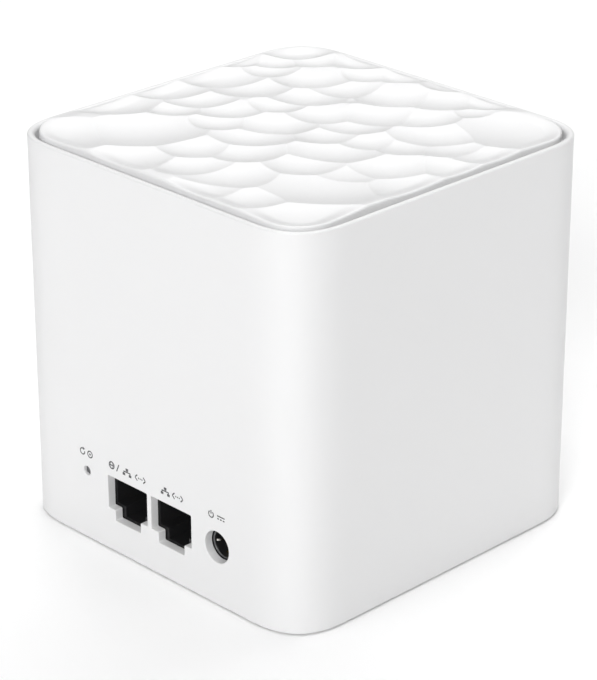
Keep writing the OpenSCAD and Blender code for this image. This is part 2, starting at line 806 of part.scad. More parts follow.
// Moulded carrier that stands on the corner posts and holds the antennas
module antenna_frame() {
    color(frame_white) difference() {
        union() {
            for (turn = [0:90:270]) rotate([0, 0, turn]) {
                translate([frame_foot_in, frame_foot_in, post_top])
                    cube([frame_foot_out - frame_foot_in, frame_foot_out - frame_foot_in, frame_foot_t]);
                translate([frame_foot_in, frame_foot_in, post_top])
                    cube([frame_leg, frame_leg, frame_top - post_top]);
                for (z = [frame_ring_z, frame_top - frame_ring_h])
                    translate([frame_out - frame_t, -frame_foot_in, z])
                        cube([frame_t, 2 * frame_foot_in, frame_ring_h]);
            }
            for (side = [-1, 1]) {
                translate([side * (frame_out - frame_t / 2), 0, (panel_bottom + panel_top) / 2])
                    cube([frame_t, 2 * frame_foot_in, panel_top - panel_bottom], center = true);
                for (y = [-stake_y, stake_y]) translate([side * frame_out, y, stake_z])
                    rotate([0, side * 90, 0]) {
                        cylinder(r = stake_r, h = antenna_t + eps);
                        translate([0, 0, antenna_t]) cylinder(r = stake_head_r, h = stake_head_t);
                    }
            }
        }
        at_corners(post_xy, post_xy) translate([0, 0, post_top - through])
            cylinder(r = pcb_screw_hole_r, h = frame_foot_t + 2 * through);
    }
}

module antenna_board(side) {
    inner = side > 0 ? frame_out : -frame_out - antenna_t;
    color(board_green) difference() {
        translate([inner, -antenna_half, antenna_bottom])
            cube([antenna_t, 2 * antenna_half, antenna_top - antenna_bottom]);
        for (y = [-stake_y, stake_y]) translate([inner - through, y, stake_z]) rotate([0, 90, 0])
            cylinder(r = stake_r + stake_gap, h = antenna_t + 2 * through);
    }
}

// Coaxial lead from an antenna down to its plug on the board
module antenna_lead(side) {
    bend_top = lead_z + lead_bend_r;
    color(jacket) mirror([side > 0 ? 0 : 1, 0, 0]) translate([0, lead_y, 0]) {
        translate([lead_x, 0, bend_top]) cylinder(r = lead_r, h = lead_top - bend_top);
        translate([lead_x - lead_bend_r, 0, bend_top]) rotate([90, 0, 0]) rotate([0, 0, -90])
            rotate_extrude(angle = 90) translate([lead_bend_r, 0]) circle(r = lead_r);
    }
}

module antenna_plug(side) {
    tail_end = lead_x - lead_bend_r;
    color(gold) mirror([side > 0 ? 0 : 1, 0, 0]) translate([0, lead_y, plug_bottom]) {
        translate([plug_x, 0, 0]) cylinder(r = plug_r, h = plug_top - plug_bottom);
        translate([plug_x, -plug_tail_w / 2, 0])
            cube([tail_end - plug_x, plug_tail_w, plug_top - plug_bottom]);
    }
}

module antenna_sockets() {
    color(gold) for (side = [-1, 1]) {
        block([side * plug_x, lead_y, socket_w, socket_w, socket_base_t]);
        translate([side * plug_x, lead_y, pcb_top]) cylinder(r = socket_r, h = plug_bottom - pcb_top);
    }
}

housing_sleeve();
top_cap();
base_cover();
foot(-1, -1);  // foot_1
foot(1, -1);  // foot_2
foot(1, 1);  // foot_3
foot(-1, 1);  // foot_4
base_screws();
rating_label();
main_pcb();
pcb_screws();
cpu_chip();
cpu_pad();
ram_chip();
ram_pad();
flash_chip();
switch_chip();
power_chip();
crystal();
heat_sink();
heat_sink_pins();
shield_can(-1);  // shield_can_left
shield_can(1);  // shield_can_right
radio_chip(-1);  // radio_chip_left
radio_chip(1);  // radio_chip_right
transformer_block(port_1_x);  // transformer_wan
transformer_block(port_2_x);  // transformer_lan
inductor(inductor_a);  // inductor_1
inductor(inductor_b);  // inductor_2
capacitor(capacitor_1_y);  // capacitor_1
capacitor(capacitor_2_y);  // capacitor_2
rj45_housing();
port_contacts(port_1_x);  // rj45_contacts_wan
port_contacts(port_2_x);  // rj45_contacts_lan
dc_jack_housing();
dc_pin();
dc_spring_contact();
dc_tabs();
reset_riser();
reset_leads();
reset_switch_base();
reset_switch_cover();
reset_dome();
reset_plunger();
status_led();
light_pipe();
antenna_frame();
frame_screws();
antenna_board(-1);  // antenna_left
antenna_board(1);  // antenna_right
antenna_lead(-1);  // antenna_lead_left
antenna_lead(1);  // antenna_lead_right
antenna_plug(-1);  // antenna_plug_left
antenna_plug(1);  // antenna_plug_right
antenna_sockets();
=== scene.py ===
import math

import bmesh
import bpy
from mathutils import Matrix, Vector
from mathutils.geometry import delaunay_2d_cdt


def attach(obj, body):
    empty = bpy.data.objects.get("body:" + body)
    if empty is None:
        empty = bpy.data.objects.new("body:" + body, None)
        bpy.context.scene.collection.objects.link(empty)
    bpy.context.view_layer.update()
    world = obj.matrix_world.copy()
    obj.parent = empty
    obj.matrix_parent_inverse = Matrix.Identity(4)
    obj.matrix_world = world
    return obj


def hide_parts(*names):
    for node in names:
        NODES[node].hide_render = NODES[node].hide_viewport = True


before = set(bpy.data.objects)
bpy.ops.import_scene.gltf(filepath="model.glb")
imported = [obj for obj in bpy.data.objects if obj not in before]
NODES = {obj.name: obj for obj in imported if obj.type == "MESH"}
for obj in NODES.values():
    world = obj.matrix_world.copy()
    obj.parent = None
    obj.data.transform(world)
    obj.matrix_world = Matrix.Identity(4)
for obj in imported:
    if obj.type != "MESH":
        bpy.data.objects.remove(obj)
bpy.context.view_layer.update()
MM = 0.001

# Sizes of the CAD parts, in millimetres. The object stands on z = 0, and the port face looks along -Y.
HALF = 44.7
RIM_H = 90.0
CORNER_R = 11.6
WALL = 2.0
RIM_W = 1.7
LEDGE_TOP = 87.0
LEDGE_BOTTOM = 85.4
LEDGE_W = 5.2
SLEEVE_BOTTOM = 0.4
CAP_HALF = 42.1
CAP_R = 9.0
CAP_TOP = 91.3
LIP_LEVEL = 90.75
PORT_X = (-7.9, 6.1)
PORT_W = 12.7
PORT_TOP = 18.5
PORT_SILL = 10.6
PORT_KEY_W = 8.2
PORT_KEY_Z = 8.1
INLET = (20.4, 14.1, 3.65)     # x, z, radius, as for the two holes below
INLET_FACE = -42.4             # y of the barrel's mouth
RESET = (-21.2, 17.0, 1.1)
RESET_SKIN = 0.8               # thickness of the wall left in front of the wider bore
RESET_BORE_R = 2.2
PIPE = (0.0, 12.0, 1.25)       # the status light's window, in the face opposite the ports
POST_AT = 35.0
POST_R = 3.5
POST_Z = (4.6, 26.0)
POST_RIB = (7.913, 0.8)        # reach from the post's centre, half thickness
POST_BORES = ((1.1, 12.4), (0.85, 6.0))   # radius and depth, from below and from above
HOOK_Y = 22.0
HOOK_HALF_W = 4.0
HOOK_SIDE = (                  # outline of a hook, distance from the middle and height
    (37.9, 87.01), (37.9, 84.2), (39.0, 84.2), (40.3, 85.15), (40.3, 85.35), (39.3, 85.35), (39.3, 87.01),
)
GOUGES = (                     # the cap's carved bowls: x, y, depth below the highest ridge, radius
    (-36.7, 35.2, 1.6, 15), (-29.9, 33.5, 1.5, 15), (-21.9, 40.8, 1.5, 18), (-8.7, 40.5, 1.6, 18),
    (-13.9, 35.2, 1.5, 15), (-35.2, 27.2, 1.5, 14), (-42.2, 21.5, 1.5, 14), (-21.2, 24.2, 1.8, 21),
    (-32, 21.7, 1.5, 14), (-11, 24.2, 1.6, 21), (0.8, 29, 1.8, 24), (9.6, 34.7, 1.7, 24),
    (4.8, 44.2, 1.3, 18), (16.8, 41, 1.6, 19), (36, 31.8, 1.9, 54), (24, 16.7, 1.8, 26),
    (14, 22.4, 1.6, 19), (6.8, 17.5, 1.8, 24), (-35.7, 10.4, 1.9, 23), (-26, 10.6, 1.7, 23),
    (-12.8, 15.6, 1.7, 21), (-2.2, 9.4, 1.7, 19), (-13.4, 6.4, 1.4, 15), (7.3, 8.6, 1.5, 19),
    (16.4, 4.2, 1.5, 18), (23.8, 8, 1.5, 21), (30.7, 13.8, 1.6, 22), (39.8, 16.5, 1.6, 26),
    (-38.4, -3.8, 1.8, 21), (-28.2, -3.4, 1.5, 18), (-18.6, -3.4, 1.4, 18), (-27.3, -11, 1.3, 15),
    (-4.8, -2, 1.8, 22), (7.6, 0.8, 1.4, 21), (16.1, -5.5, 1.5, 29), (29.8, -4.8, 1.7, 26),
    (40.8, 6.2, 1.6, 24), (-14.2, -10, 1.4, 16), (-2.8, -11, 1.6, 21), (-39.2, -18.2, 1.7, 26),
    (-22.2, -26, 1.9, 39), (-6, -24.4, 1.5, 22), (2.9, -19, 1.5, 22), (17.4, -14.8, 1.6, 24),
    (11.1, -30.2, 1.7, 29), (1.3, -31.6, 1.5, 22), (-11.2, -37.8, 1.5, 26), (-31.7, -38.2, 1.7, 38),
    (12.8, -38.8, 1.5, 26), (22, -35.8, 1.6, 26), (28.4, -21.6, 1.8, 54), (36.8, -36.2, 1.9, 44),
    (38.8, -8.8, 1.7, 35), (26.8, -12.8, 1.5, 29), (-4.7, 20.2, 0.5, 13), (20.2, 32.2, 0.6, 15),
)

# Details that only the visual model has, in millimetres
CUT_EDGE = 0.16                # softened edge of the openings in the wall
CAP_EDGE = 0.5                 # rounded edge of the cap
RIDGE_SOFT = 0.015             # height over which two bowls blend at their ridge
BOWL_FAR = 20.0                # a bowl isn't felt further away than this
BOWL_LONG, BOWL_ACROSS = 0.65, 1.3   # the bowls are a little longer along one diagonal of the cap
RELIEF = 0.9                   # depth of the carving, as a share of the CAD's
LIP_BAND = 4.0                 # the carving fades towards the edge over this width
LIP_KEEP = 0.45                # share of the carving that is left at the edge
MARK_Z = 21.35                 # middle height of the printed marks
MARK_W = 0.31                  # width of their strokes
LABEL_SPANS = ((0, 0.0, 17.6), (1, -18.0, 7.6))   # axis, middle and half size of the label's border line
LABEL_LINE = 0.25
WELD = 1e-4                    # points closer than this are one point


# ---------- materials ----------

class Nodes:
    """A small helper that adds and joins shader nodes."""

    def __init__(self, name):
        self.mat = bpy.data.materials.new(name)
        self.mat.use_nodes = True
        self.tree = self.mat.node_tree
        self.tree.nodes.clear()
        self.out = self.tree.nodes.new("ShaderNodeOutputMaterial")
        self.bsdf = self.tree.nodes.new("ShaderNodeBsdfPrincipled")
        self.link(self.bsdf.outputs[0], self.out.inputs["Surface"])
        self.coord = self.tree.nodes.new("ShaderNodeTexCoord").outputs["Object"]

    def link(self, a, b):
        self.tree.links.new(a, b)

    def put(self, socket, value):
        if isinstance(value, bpy.types.NodeSocket):
            self.link(value, socket)
        else:
            socket.default_value = value

    def add(self, kind, props=None, **inputs):
        node = self.tree.nodes.new(kind)
        for key, value in (props or {}).items():
            setattr(node, key, value)
        for key, value in inputs.items():
            self.put(node.inputs[key.replace("_", " ")], value)
        return node

    def noise(self, size_mm, detail=2.0, rough=0.5, coord=None):
        return self.add("ShaderNodeTexNoise", Vector=coord or self.coord, Scale=1 / (size_mm * MM),
                        Detail=detail, Roughness=rough).outputs["Fac"]

    def math(self, op, a, b=0.0, c=0.0):
        node = self.add("ShaderNodeMath", {"operation": op})
        for socket, value in zip(node.inputs, (a, b, c)):
            self.put(socket, value)
        return node.outputs[0]

    def span(self, value, low, high):
        """Maps 0..1 to low..high."""
        return self.add("ShaderNodeMapRange", Value=value, To_Min=low, To_Max=high).outputs[0]

    def ramp(self, value, stops):
        node = self.add("ShaderNodeValToRGB", Fac=value)
        elements = node.color_ramp.elements
        while len(elements) < len(stops):
            elements.new(0.5)
        for element, (at, colour) in zip(elements, stops):
            element.position = at
            element.color = (*colour, 1)
        return node.outputs[0]

    def mix(self, fac, a, b):
        node = self.add("ShaderNodeMix", {"data_type": "RGBA"})
        self.put(node.inputs["Factor"], fac)
        colour = [s for s in node.inputs if s.type == "RGBA"]
        for socket, value in zip(colour, (a, b)):
            self.put(socket, value if not isinstance(value, tuple) else (*value, 1))
        return [s for s in node.outputs if s.type == "RGBA"][0]

    def bump(self, height, depth_mm):
        return self.add("ShaderNodeBump", Height=height, Distance=depth_mm * MM, Strength=1.0).outputs[0]

    def set(self, **inputs):
        names = {"color": "Base Color", "rough": "Roughness", "metal": "Metallic", "ior": "IOR",
                 "normal": "Normal", "spec": "Specular IOR Level", "coat": "Coat Weight",
                 "coat_rough": "Coat Roughness", "sss": "Subsurface Weight", "sss_scale": "Subsurface Scale",
                 "trans": "Transmission Weight", "aniso": "Anisotropic"}
        for key, value in inputs.items():
            socket = self.bsdf.inputs[names[key]]
            self.put(socket, (*value, 1) if isinstance(value, tuple) and socket.type == "RGBA" else value)
        return self.mat


def plastic(name, colour, rough, grain_mm, grain_depth, spread=0.03, mottle=0.02, sss=0.0, coat=0.0):
    """Moulded plastic: fine mould grain, faint flow mottling and uneven gloss."""
    n = Nodes(name)
    flow = n.noise(14, 3)
    dark = tuple(c * (1 - mottle) for c in colour)
    light = tuple(min(1, c * (1 + mottle)) for c in colour)
    grain = n.noise(grain_mm, 3, 0.6)
    fine = n.noise(grain_mm * 0.35, 2, 0.5)
    height = n.math("MULTIPLY_ADD", fine, 0.4, grain)
    base = n.span(flow, rough - spread, rough + spread * 0.4)
    rough_map = n.math("MULTIPLY_ADD", n.noise(3.5, 2), spread, base)
    return n.set(color=n.mix(flow, dark, light), rough=rough_map, sss=sss, sss_scale=0.0006,
                 coat=coat, coat_rough=0.2, ior=1.5, normal=n.bump(height, grain_depth))


def metal(name, colour, rough, stretch=(1, 1, 1), grain_mm=0.3, depth=0.002, mottle=0.06):
    """Metal with drawn or rolled lines along one axis and stained patches."""
    n = Nodes(name)
    mapped = n.add("ShaderNodeMapping", Vector=n.coord, Scale=stretch).outputs[0]
    lines = n.noise(grain_mm, 4, 0.65, mapped)
    patch = n.noise(2.4, 4, 0.6)
    dark = tuple(c * (1 - 2 * mottle) for c in colour)
    return n.set(color=n.mix(patch, dark, colour), metal=1.0, rough=n.span(lines, rough * 0.75, rough * 1.3),
                 aniso=0.3, normal=n.bump(lines, depth))


def label_film():
    """A blank printed label: paper film with one thin line round its border."""
    n = Nodes("label_film")
    weave = n.noise(0.12, 3)
    parts = n.add("ShaderNodeSeparateXYZ", Vector=n.coord).outputs

    def box(trim):
        """1 inside the border line's outline made smaller by trim, and 0 outside."""
        sides = []
        for axis, middle, reach in LABEL_SPANS:
            away = n.math("ABSOLUTE", n.math("SUBTRACT", parts[axis], middle * MM))
            sides.append(n.math("LESS_THAN", away, (reach - trim) * MM))
        return n.math("MULTIPLY", *sides)

    line = n.math("SUBTRACT", box(0.0), box(LABEL_LINE))
    paper = n.mix(n.noise(5, 3), (0.74, 0.75, 0.76), (0.8, 0.81, 0.82))
    return n.set(color=n.mix(line, paper, (0.3, 0.31, 0.33)), rough=n.span(weave, 0.38, 0.5),
                 normal=n.bump(weave, 0.003))


def board():
    """Solder mask with copper traces and pads showing faintly through it."""
    n = Nodes("board")
    grid = n.add("ShaderNodeTexVoronoi", {"distance": "MANHATTAN", "feature": "DISTANCE_TO_EDGE"},
                 Vector=n.coord, Scale=1 / (3.1 * MM)).outputs[0]
    trace = n.math("LESS_THAN", grid, 0.07)
    vias = n.add("ShaderNodeTexVoronoi", {"feature": "F1"}, Vector=n.coord, Scale=1 / (2.2 * MM)).outputs[0]
    via = n.math("LESS_THAN", vias, 0.13)
    mask = n.mix(n.noise(6, 3), (0.012, 0.11, 0.06), (0.02, 0.16, 0.09))
    copper = n.mix(trace, mask, (0.05, 0.26, 0.15))
    height = n.math("ADD", trace, n.noise(0.5, 2))
    return n.set(color=n.mix(via, copper, (0.6, 0.5, 0.28)), rough=n.span(n.noise(2, 2), 0.25, 0.4),
                 coat=0.3, coat_rough=0.15, normal=n.bump(height, 0.02))


def pipe_acrylic():
    """Clear acrylic with a faint haze."""
    n = Nodes("pipe_acrylic")
    haze = n.noise(0.8, 3)
    return n.set(color=n.mix(haze, (0.86, 0.9, 0.92), (0.93, 0.96, 0.98)), trans=0.85, ior=1.49,
                 rough=n.span(haze, 0.08, 0.2), normal=n.bump(n.noise(0.2, 2), 0.001))


def phosphor():
    """The yellow, speckled lens of an unlit white LED."""
    n = Nodes("phosphor")
    speck = n.noise(0.15, 4)
    return n.set(color=n.mix(speck, (0.8, 0.72, 0.3), (0.9, 0.85, 0.5)), rough=n.span(speck, 0.2, 0.35),
                 coat=0.6, normal=n.bump(speck, 0.004))


def printed_ink():
    """Dark grey screen-printed ink."""
    n = Nodes("printed_ink")
    screen = n.noise(0.09, 3, 0.6)
    return n.set(color=n.mix(screen, (0.045, 0.045, 0.05), (0.08, 0.08, 0.085)),
                 rough=n.span(screen, 0.4, 0.55), normal=n.bump(screen, 0.002))


def ferrite():
    """Pressed, coarse-grained ferrite."""
    n = Nodes("ferrite")
    grain = n.noise(0.25, 5, 0.7)
    return n.set(color=n.ramp(grain, ((0.3, (0.03, 0.03, 0.032)), (0.7, (0.09, 0.09, 0.1)))),
                 rough=n.span(grain, 0.5, 0.75), normal=n.bump(grain, 0.03))


WHITE = (0.77, 0.77, 0.773)
MATS = {
    # named as the record's material slots, apart from cap_white and inlet_gloss
    "shell_white": plastic("shell_satin", WHITE, 0.36, 0.16, 0.0012, mottle=0.004),
    "cap_white": plastic("cap_satin", WHITE, 0.34, 0.16, 0.0012, mottle=0.004),
    "base_white": plastic("base_texture", (0.74, 0.74, 0.745), 0.5, 0.3, 0.012, mottle=0.008),
    "foot_rubber": plastic("foot_rubber", (0.2, 0.2, 0.205), 0.78, 0.22, 0.02, mottle=0.1),
    "screw_steel": metal("screw_zinc", (0.62, 0.63, 0.65), 0.32, (1, 1, 0.2), 0.15),
    "label_paper": label_film(),
    "board_fr4": board(),
    "chip_epoxy": plastic("chip_epoxy", (0.025, 0.025, 0.028), 0.55, 0.12, 0.01, mottle=0.15),
    "pad_silicone": plastic("pad_silicone", (0.35, 0.42, 0.55), 0.7, 0.3, 0.02, mottle=0.08),
    "tinned_steel": metal("tinned_steel", (0.72, 0.72, 0.72), 0.3, (1, 0.15, 1), 0.35),
    "sink_aluminium": metal("sink_aluminium", (0.77, 0.78, 0.8), 0.42, (1, 0.08, 1), 0.2, 0.006),
    "pin_nylon": plastic("pin_nylon", (0.8, 0.8, 0.76), 0.5, 0.2, 0.008, mottle=0.03, sss=0.1),
    "inductor_ferrite": ferrite(),
    "socket_black": plastic("socket_black", (0.012, 0.012, 0.013), 0.42, 0.18, 0.006, mottle=0.12),
    # glossy grey bead, lighter than the black barrel: the lighter colour is a painted highlight on the
    # inlet's lip
    "inlet_gloss": plastic("inlet_gloss", (0.13, 0.13, 0.135), 0.28, 0.18, 0.003, mottle=0.1, coat=0.4),
    "contact_gold": metal("contact_gold", (0.83, 0.64, 0.3), 0.25, (1, 0.1, 1), 0.12),
    "pin_nickel": metal("pin_nickel", (0.72, 0.7, 0.66), 0.22, (1, 0.1, 1), 0.15),
    "plunger_plastic": plastic("plunger_plastic", (0.16, 0.16, 0.165), 0.45, 0.15, 0.004, mottle=0.04),
    "led_phosphor": phosphor(),
    "pipe_clear": pipe_acrylic(),
    "frame_abs": plastic("frame_abs", (0.74, 0.74, 0.71), 0.55, 0.3, 0.01, mottle=0.03),
    "lead_jacket": plastic("lead_jacket", (0.03, 0.03, 0.033), 0.5, 0.2, 0.006, mottle=0.15),
}
INK = printed_ink()


def dress_cad_nodes():
    """Gives every CAD node the material whose name its packed material starts with."""
    for obj in NODES.values():
        old = obj.data.materials[0].name if obj.data.materials else ""
        key = next((k for k in sorted(MATS, key=len, reverse=True) if old.startswith(k)), "base_white")
        obj.data.materials.clear()
        obj.data.materials.append(MATS[key])


dress_cad_nodes()


# ---------- geometry helpers ----------

def mesh_object(name, bm, mats, sharp_deg=35, weighted=False):
    """Welds a bmesh into one smooth object whose sharp edges stay sharp."""
    bmesh.ops.remove_doubles(bm, verts=bm.verts, dist=WELD * MM)
    bmesh.ops.recalc_face_normals(bm, faces=bm.faces)
    mesh = bpy.data.meshes.new(name)
    bm.to_mesh(mesh)
    bm.free()
    for mat in mats:
        mesh.materials.append(mat)
    mesh.polygons.foreach_set("use_smooth", [True] * len(mesh.polygons))
    mesh.set_sharp_from_angle(angle=math.radians(sharp_deg))
    obj = bpy.data.objects.new(name, mesh)
    bpy.context.scene.collection.objects.link(obj)
    if weighted:
        mod = obj.modifiers.new("normals", "WEIGHTED_NORMAL")
        mod.mode = "FACE_AREA"
        mod.weight = 100
        mod.keep_sharp = True
    return obj


def arc(cx, cy, r, a0, a1, n):
    """Points on an arc from a0 to a1 degrees, both ends included."""
    return [(cx + r * math.cos(math.radians(a0 + (a1 - a0) * i / n)),
             cy + r * math.sin(math.radians(a0 + (a1 - a0) * i / n))) for i in range(n + 1)]


def rounded_loop(corners, radius, grow, steps=4):
    """A closed, anticlockwise outline grown outward, with the same number of points round every corner."""
    out = []
    count = len(corners)
    for i, (x, y) in enumerate(corners):
        px, py = corners[i - 1]
        nx, ny = corners[(i + 1) % count]
        a = Vector((x - px, y - py)).normalized()
        b = Vector((nx - x, ny - y)).normalized()
        turn = a.x * b.y - a.y * b.x
        na, nb = Vector((a.y, -a.x)), Vector((b.y, -b.x))
        corner = Vector((x, y)) + grow * (na + nb) / (1 + na.dot(nb))
        r = radius + grow if turn > 0 else radius - grow
        reach = r * math.tan(math.acos(max(-1, min(1, a.dot(b)))) / 2)
        start = corner - a * reach
        centre = start - na * r if turn > 0 else start + na * r
        side = 1 if turn > 0 else -1
        first = math.atan2((na * side).y, (na * side).x)
        sweep = math.acos(max(-1, min(1, a.dot(b)))) * side
        for k in range(steps + 1):
            angle = first + sweep * k / steps
            out.append((centre.x + r * math.cos(angle), centre.y + r * math.sin(angle)))
    return out


def circle_loop(cx, cy, r, n):
    """A closed ring of n points."""
    turns = [2 * math.pi * i / n for i in range(n)]
    return [(cx + r * math.cos(a), cy + r * math.sin(a)) for a in turns]


def inside(p, loop):
    """Whether a point lies inside a closed outline."""
    hit = False
    for i, (x0, y0) in enumerate(loop):
        x1, y1 = loop[i - 1]
        if (y0 > p[1]) != (y1 > p[1]) and p[0] < (x1 - x0) * (p[1] - y0) / (y1 - y0) + x0:
            hit = not hit
    return hit


def fill_face(bm, place, border, holes, marks=()):
    """Fills a flat border with holes; triangles inside a mark get the ink slot."""
    points, edges = [], []
    for loop in (border, *holes, *marks):
        first = len(points)
        points += [Vector(p) for p in loop]
        edges += [(first + i, first + (i + 1) % len(loop)) for i in range(len(loop))]
    coords, _, tris, *_ = delaunay_2d_cdt(points, edges, [], 1, 1e-5, False)
    verts = [bm.verts.new(place(p[0], p[1])) for p in coords]
    for tri in tris:
        mid = sum((coords[i] for i in tri), Vector((0, 0))) / len(tri)
        if any(inside(mid, hole) for hole in holes) or not inside(mid, border):
            continue
        face = bm.faces.new([verts[i] for i in tri])
        face.material_index = 1 if any(inside(mid, m) for m in marks) else 0


def bridge(bm, loop_a, loop_b, place_a, place_b):
    """Joins two loops of the same number of points with quads."""
    a = [bm.verts.new(place_a(*p)) for p in loop_a]
    b = [bm.verts.new(place_b(*p)) for p in loop_b]
    for i in range(len(a)):
        j = (i + 1) % len(a)
        bm.faces.new((a[i], a[j], b[j], b[i]))


# ---------- sleeve ----------

def stroke(p0, p1, w):
    """A straight stroke as a thin rectangle."""
    a, b = Vector(p0), Vector(p1)
    side = (b - a).normalized().orthogonal() * w / 2
    return [tuple(a - side), tuple(b - side), tuple(b + side), tuple(a + side)]


def ring_stroke(r, w, a0, a1, n):
    """A curved stroke round the origin."""
    return arc(0, 0, r + w / 2, a0, a1, n) + arc(0, 0, r - w / 2, a1, a0, n)


def port_marks():
    """Generic symbols printed over the openings, as outlines in x and z."""
    w, z = MARK_W, MARK_Z
    marks = []

    def ring(x, r, a0=0, a1=360, squeeze=1.0):
        loop = ring_stroke(r, w, a0, a1, 36)
        marks.append([(x + px * squeeze, z + pz) for px, pz in loop])

    def box(x, dz, half_w, half_h):
        marks.append([(x - half_w, z + dz - half_h), (x + half_w, z + dz - half_h),
                      (x + half_w, z + dz + half_h), (x - half_w, z + dz + half_h)])

    def line(x0, dz0, x1, dz1):
        marks.append(stroke((x0, z + dz0), (x1, z + dz1), w))

    def dot(x, r):
        marks.append(circle_loop(x, z, r, 24))

    def tree(x):
        """A local network: one box over two, joined by lines."""
        box(x, 0.62, 0.42, 0.3)
        for side in (-1, 1):
            box(x + side * 1.0, -0.62, 0.42, 0.3)
            line(x + side * 1.0, -0.4, x + side * 1.0, 0.05)
        line(x - 1.13, 0.02, x + 1.13, 0.02)
        line(x, 0.4, x, 0.0)

    def cable(x):
        """A network line: two angle brackets with three dots between them."""
        for side in (-1, 1):
            line(x + side * 1.65, 0.03, x + side * 0.95, 0.72)
            line(x + side * 1.65, -0.03, x + side * 0.95, -0.72)
        for k in (-1, 0, 1):
            dot(x + 0.55 * k, 0.19)

    # reset: a circular arrow, then a pressed point in a ring
    x = RESET[0] - 1.3
    ring(x, 0.72, 75, 375)
    marks.append([(x + 0.15, z + 1.14), (x + 0.15, z + 0.3), (x + 0.86, z + 0.72)])
    ring(RESET[0] + 1.2, 0.75)
    dot(RESET[0] + 1.2, 0.27)
    # outer network and local network: a globe, a slash, the local tree and the line
    x = PORT_X[0] - 4.9
    ring(x, 0.8)
    ring(x, 0.8, squeeze=0.45)
    line(x - 0.8, 0, x + 0.8, 0)
    line(PORT_X[0] - 3.3, -0.9, PORT_X[0] - 2.5, 0.92)
    tree(PORT_X[0] + 0.1)
    cable(PORT_X[0] + 4.4)
    # local network
    tree(PORT_X[1] - 1.6)
    cable(PORT_X[1] + 2.3)
    # power: a broken ring with a bar, then the sign for direct current
    x = INLET[0] - 1.6
    ring(x, 0.72, 125, 415)
    line(x, 0.1, x, 0.95)
    x = INLET[0] + 1.4
    line(x - 1.15, 0.32, x + 1.15, 0.32)
    for k in (-1, 0, 1):
        line(x + k * 0.84 - 0.27, -0.32, x + k * 0.84 + 0.27, -0.32)
    return marks


def port_outline(x):
    """A network port's cut-out with the notch for the plug's latch below."""
    w, k = PORT_W / 2, PORT_KEY_W / 2
    return [(x - k, PORT_KEY_Z), (x + k, PORT_KEY_Z), (x + k, PORT_SILL), (x + w, PORT_SILL),
            (x + w, PORT_TOP), (x - w, PORT_TOP), (x - w, PORT_SILL), (x - k, PORT_SILL)]


def sleeve_section():
    """Wall section as (depth from the outer face, height), going round once."""
    bottom_r, outer_r, inner_r = 0.3, 0.5, 1.0
    section = [(WALL, SLEEVE_BOTTOM)]
    section += arc(bottom_r, SLEEVE_BOTTOM + bottom_r, bottom_r, 270, 180, 6)
    section += arc(outer_r, RIM_H - outer_r, outer_r, 180, 90, 8)
    section += arc(RIM_W - inner_r, RIM_H - inner_r, inner_r, 90, 0, 12)
    section += [(RIM_W, LEDGE_TOP), (LEDGE_W, LEDGE_TOP), (LEDGE_W, LEDGE_BOTTOM), (WALL, LEDGE_BOTTOM)]
    return section


def corner_curve(steps):
    """The corner seen from above, from the -Y face round to the +X face: x, y and the way the wall looks.

    Curvature grows gradually from the flat faces, so that no line shows where the corner starts. The curve
    passes through the same middle point as the plain arc.
    """
    ramp, fine = 0.7, 2000
    total = math.pi / 2
    length = total * (1 + ramp)
    x = y = turn = 0.0
    path = [(0.0, 0.0, 0.0)]
    for i in range(fine):
        at = (i + 0.5) * length / fine
        curve = min(at / (ramp * total), (length - at) / (ramp * total), 1.0)
        turn_mid = turn + curve * length / fine / 2
        x += math.cos(turn_mid) * length / fine
        y += math.sin(turn_mid) * length / fine
        turn += curve * length / fine
        path.append((x, y, turn))
    mx, my, _ = path[fine // 2]
    scale = (math.sqrt(2) - 1) * CORNER_R / math.hypot(x - mx, my)
    out = []
    for k in range(steps + 1):
        px, py, angle = path[round(k * fine / steps)]
        out.append((HALF - (x - px) * scale, -HALF + py * scale, angle - math.pi / 2))
    return out


def add_post(bm, turn):
    """A screw post inside one corner, with the rib that ties it to the wall and a bore from each end."""
    reach, half_t = POST_RIB
    start = math.degrees(math.asin(half_t / POST_R))
    outline = [(reach, -half_t), (reach, half_t)] + arc(0, 0, POST_R, start, 360 - start, 48)
    spin = turn @ Matrix.Rotation(math.radians(45), 3, "Z")
    centre = turn @ Vector((POST_AT, POST_AT, 0))

    def at(x, y, z):
        return (centre + spin @ Vector((x, y, 0)) + Vector((0, 0, z))) * MM

    low, high = POST_Z
    bridge(bm, outline, outline, lambda x, y: at(x, y, low), lambda x, y: at(x, y, high))
    for z, side, (r, depth) in ((low, 1, POST_BORES[0]), (high, -1, POST_BORES[1])):
        bore = circle_loop(0, 0, r, 24)
        deep = z + side * depth
        fill_face(bm, lambda x, y: at(x, y, z), outline, [bore])
        bridge(bm, bore, bore, lambda x, y: at(x, y, z), lambda x, y: at(x, y, deep))
        bm.faces.new([bm.verts.new(at(x, y, deep)) for x, y in bore])


